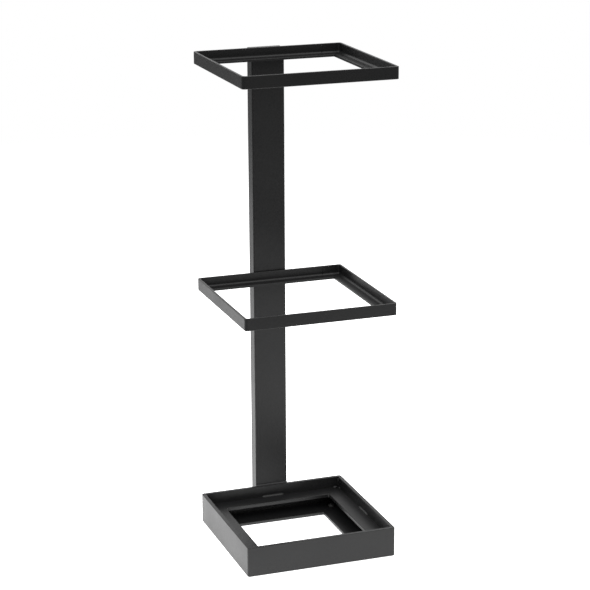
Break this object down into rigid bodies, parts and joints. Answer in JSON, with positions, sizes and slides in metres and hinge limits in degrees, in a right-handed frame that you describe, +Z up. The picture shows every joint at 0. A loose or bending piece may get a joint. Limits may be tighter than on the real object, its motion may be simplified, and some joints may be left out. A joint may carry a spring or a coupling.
{
  "type": "umbrella stand",
  "caption": "Slim square umbrella stand in black steel: an open base, a flat post at the back, and square rings of steel angle on it that hold umbrellas upright.",
  "frame": {"origin": "on the floor, under the centre of the stand's bounding box, at the bottom of the rubber feet", "axes": "+Z up, +X to the right seen from the front, +Y to the back, towards the post"},
  "size_m": [0.16, 0.1756, 0.5115],
  "materials": {
    "powder_coat": "satin black powder coat over welded steel",
    "rubber": "matt black moulded rubber",
    "plug_plastic": "black moulded polyethylene"
  },
  "bodies": {
    "root": {"base_wall_front": "powder_coat", "base_wall_back": "powder_coat", "base_wall_left": "powder_coat", "base_wall_right": "powder_coat", "base_shelf": "powder_coat", "base_bottom_plate": "powder_coat", "post_tube": "powder_coat", "post_top_cap": "powder_coat", "mid_ring": "powder_coat", "top_ring": "powder_coat", "mid_ring_butt_weld": "powder_coat", "top_ring_butt_weld": "powder_coat", "shelf_stitch_welds": "powder_coat", "shelf_corner_welds": "powder_coat", "post_foot_weld": "powder_coat", "post_side_welds": "powder_coat", "foot_front_left": "rubber", "foot_front_right": "rubber", "foot_back_left": "rubber", "foot_back_right": "rubber", "post_bottom_plug": "plug_plastic"}
  },
  "joints": []
}
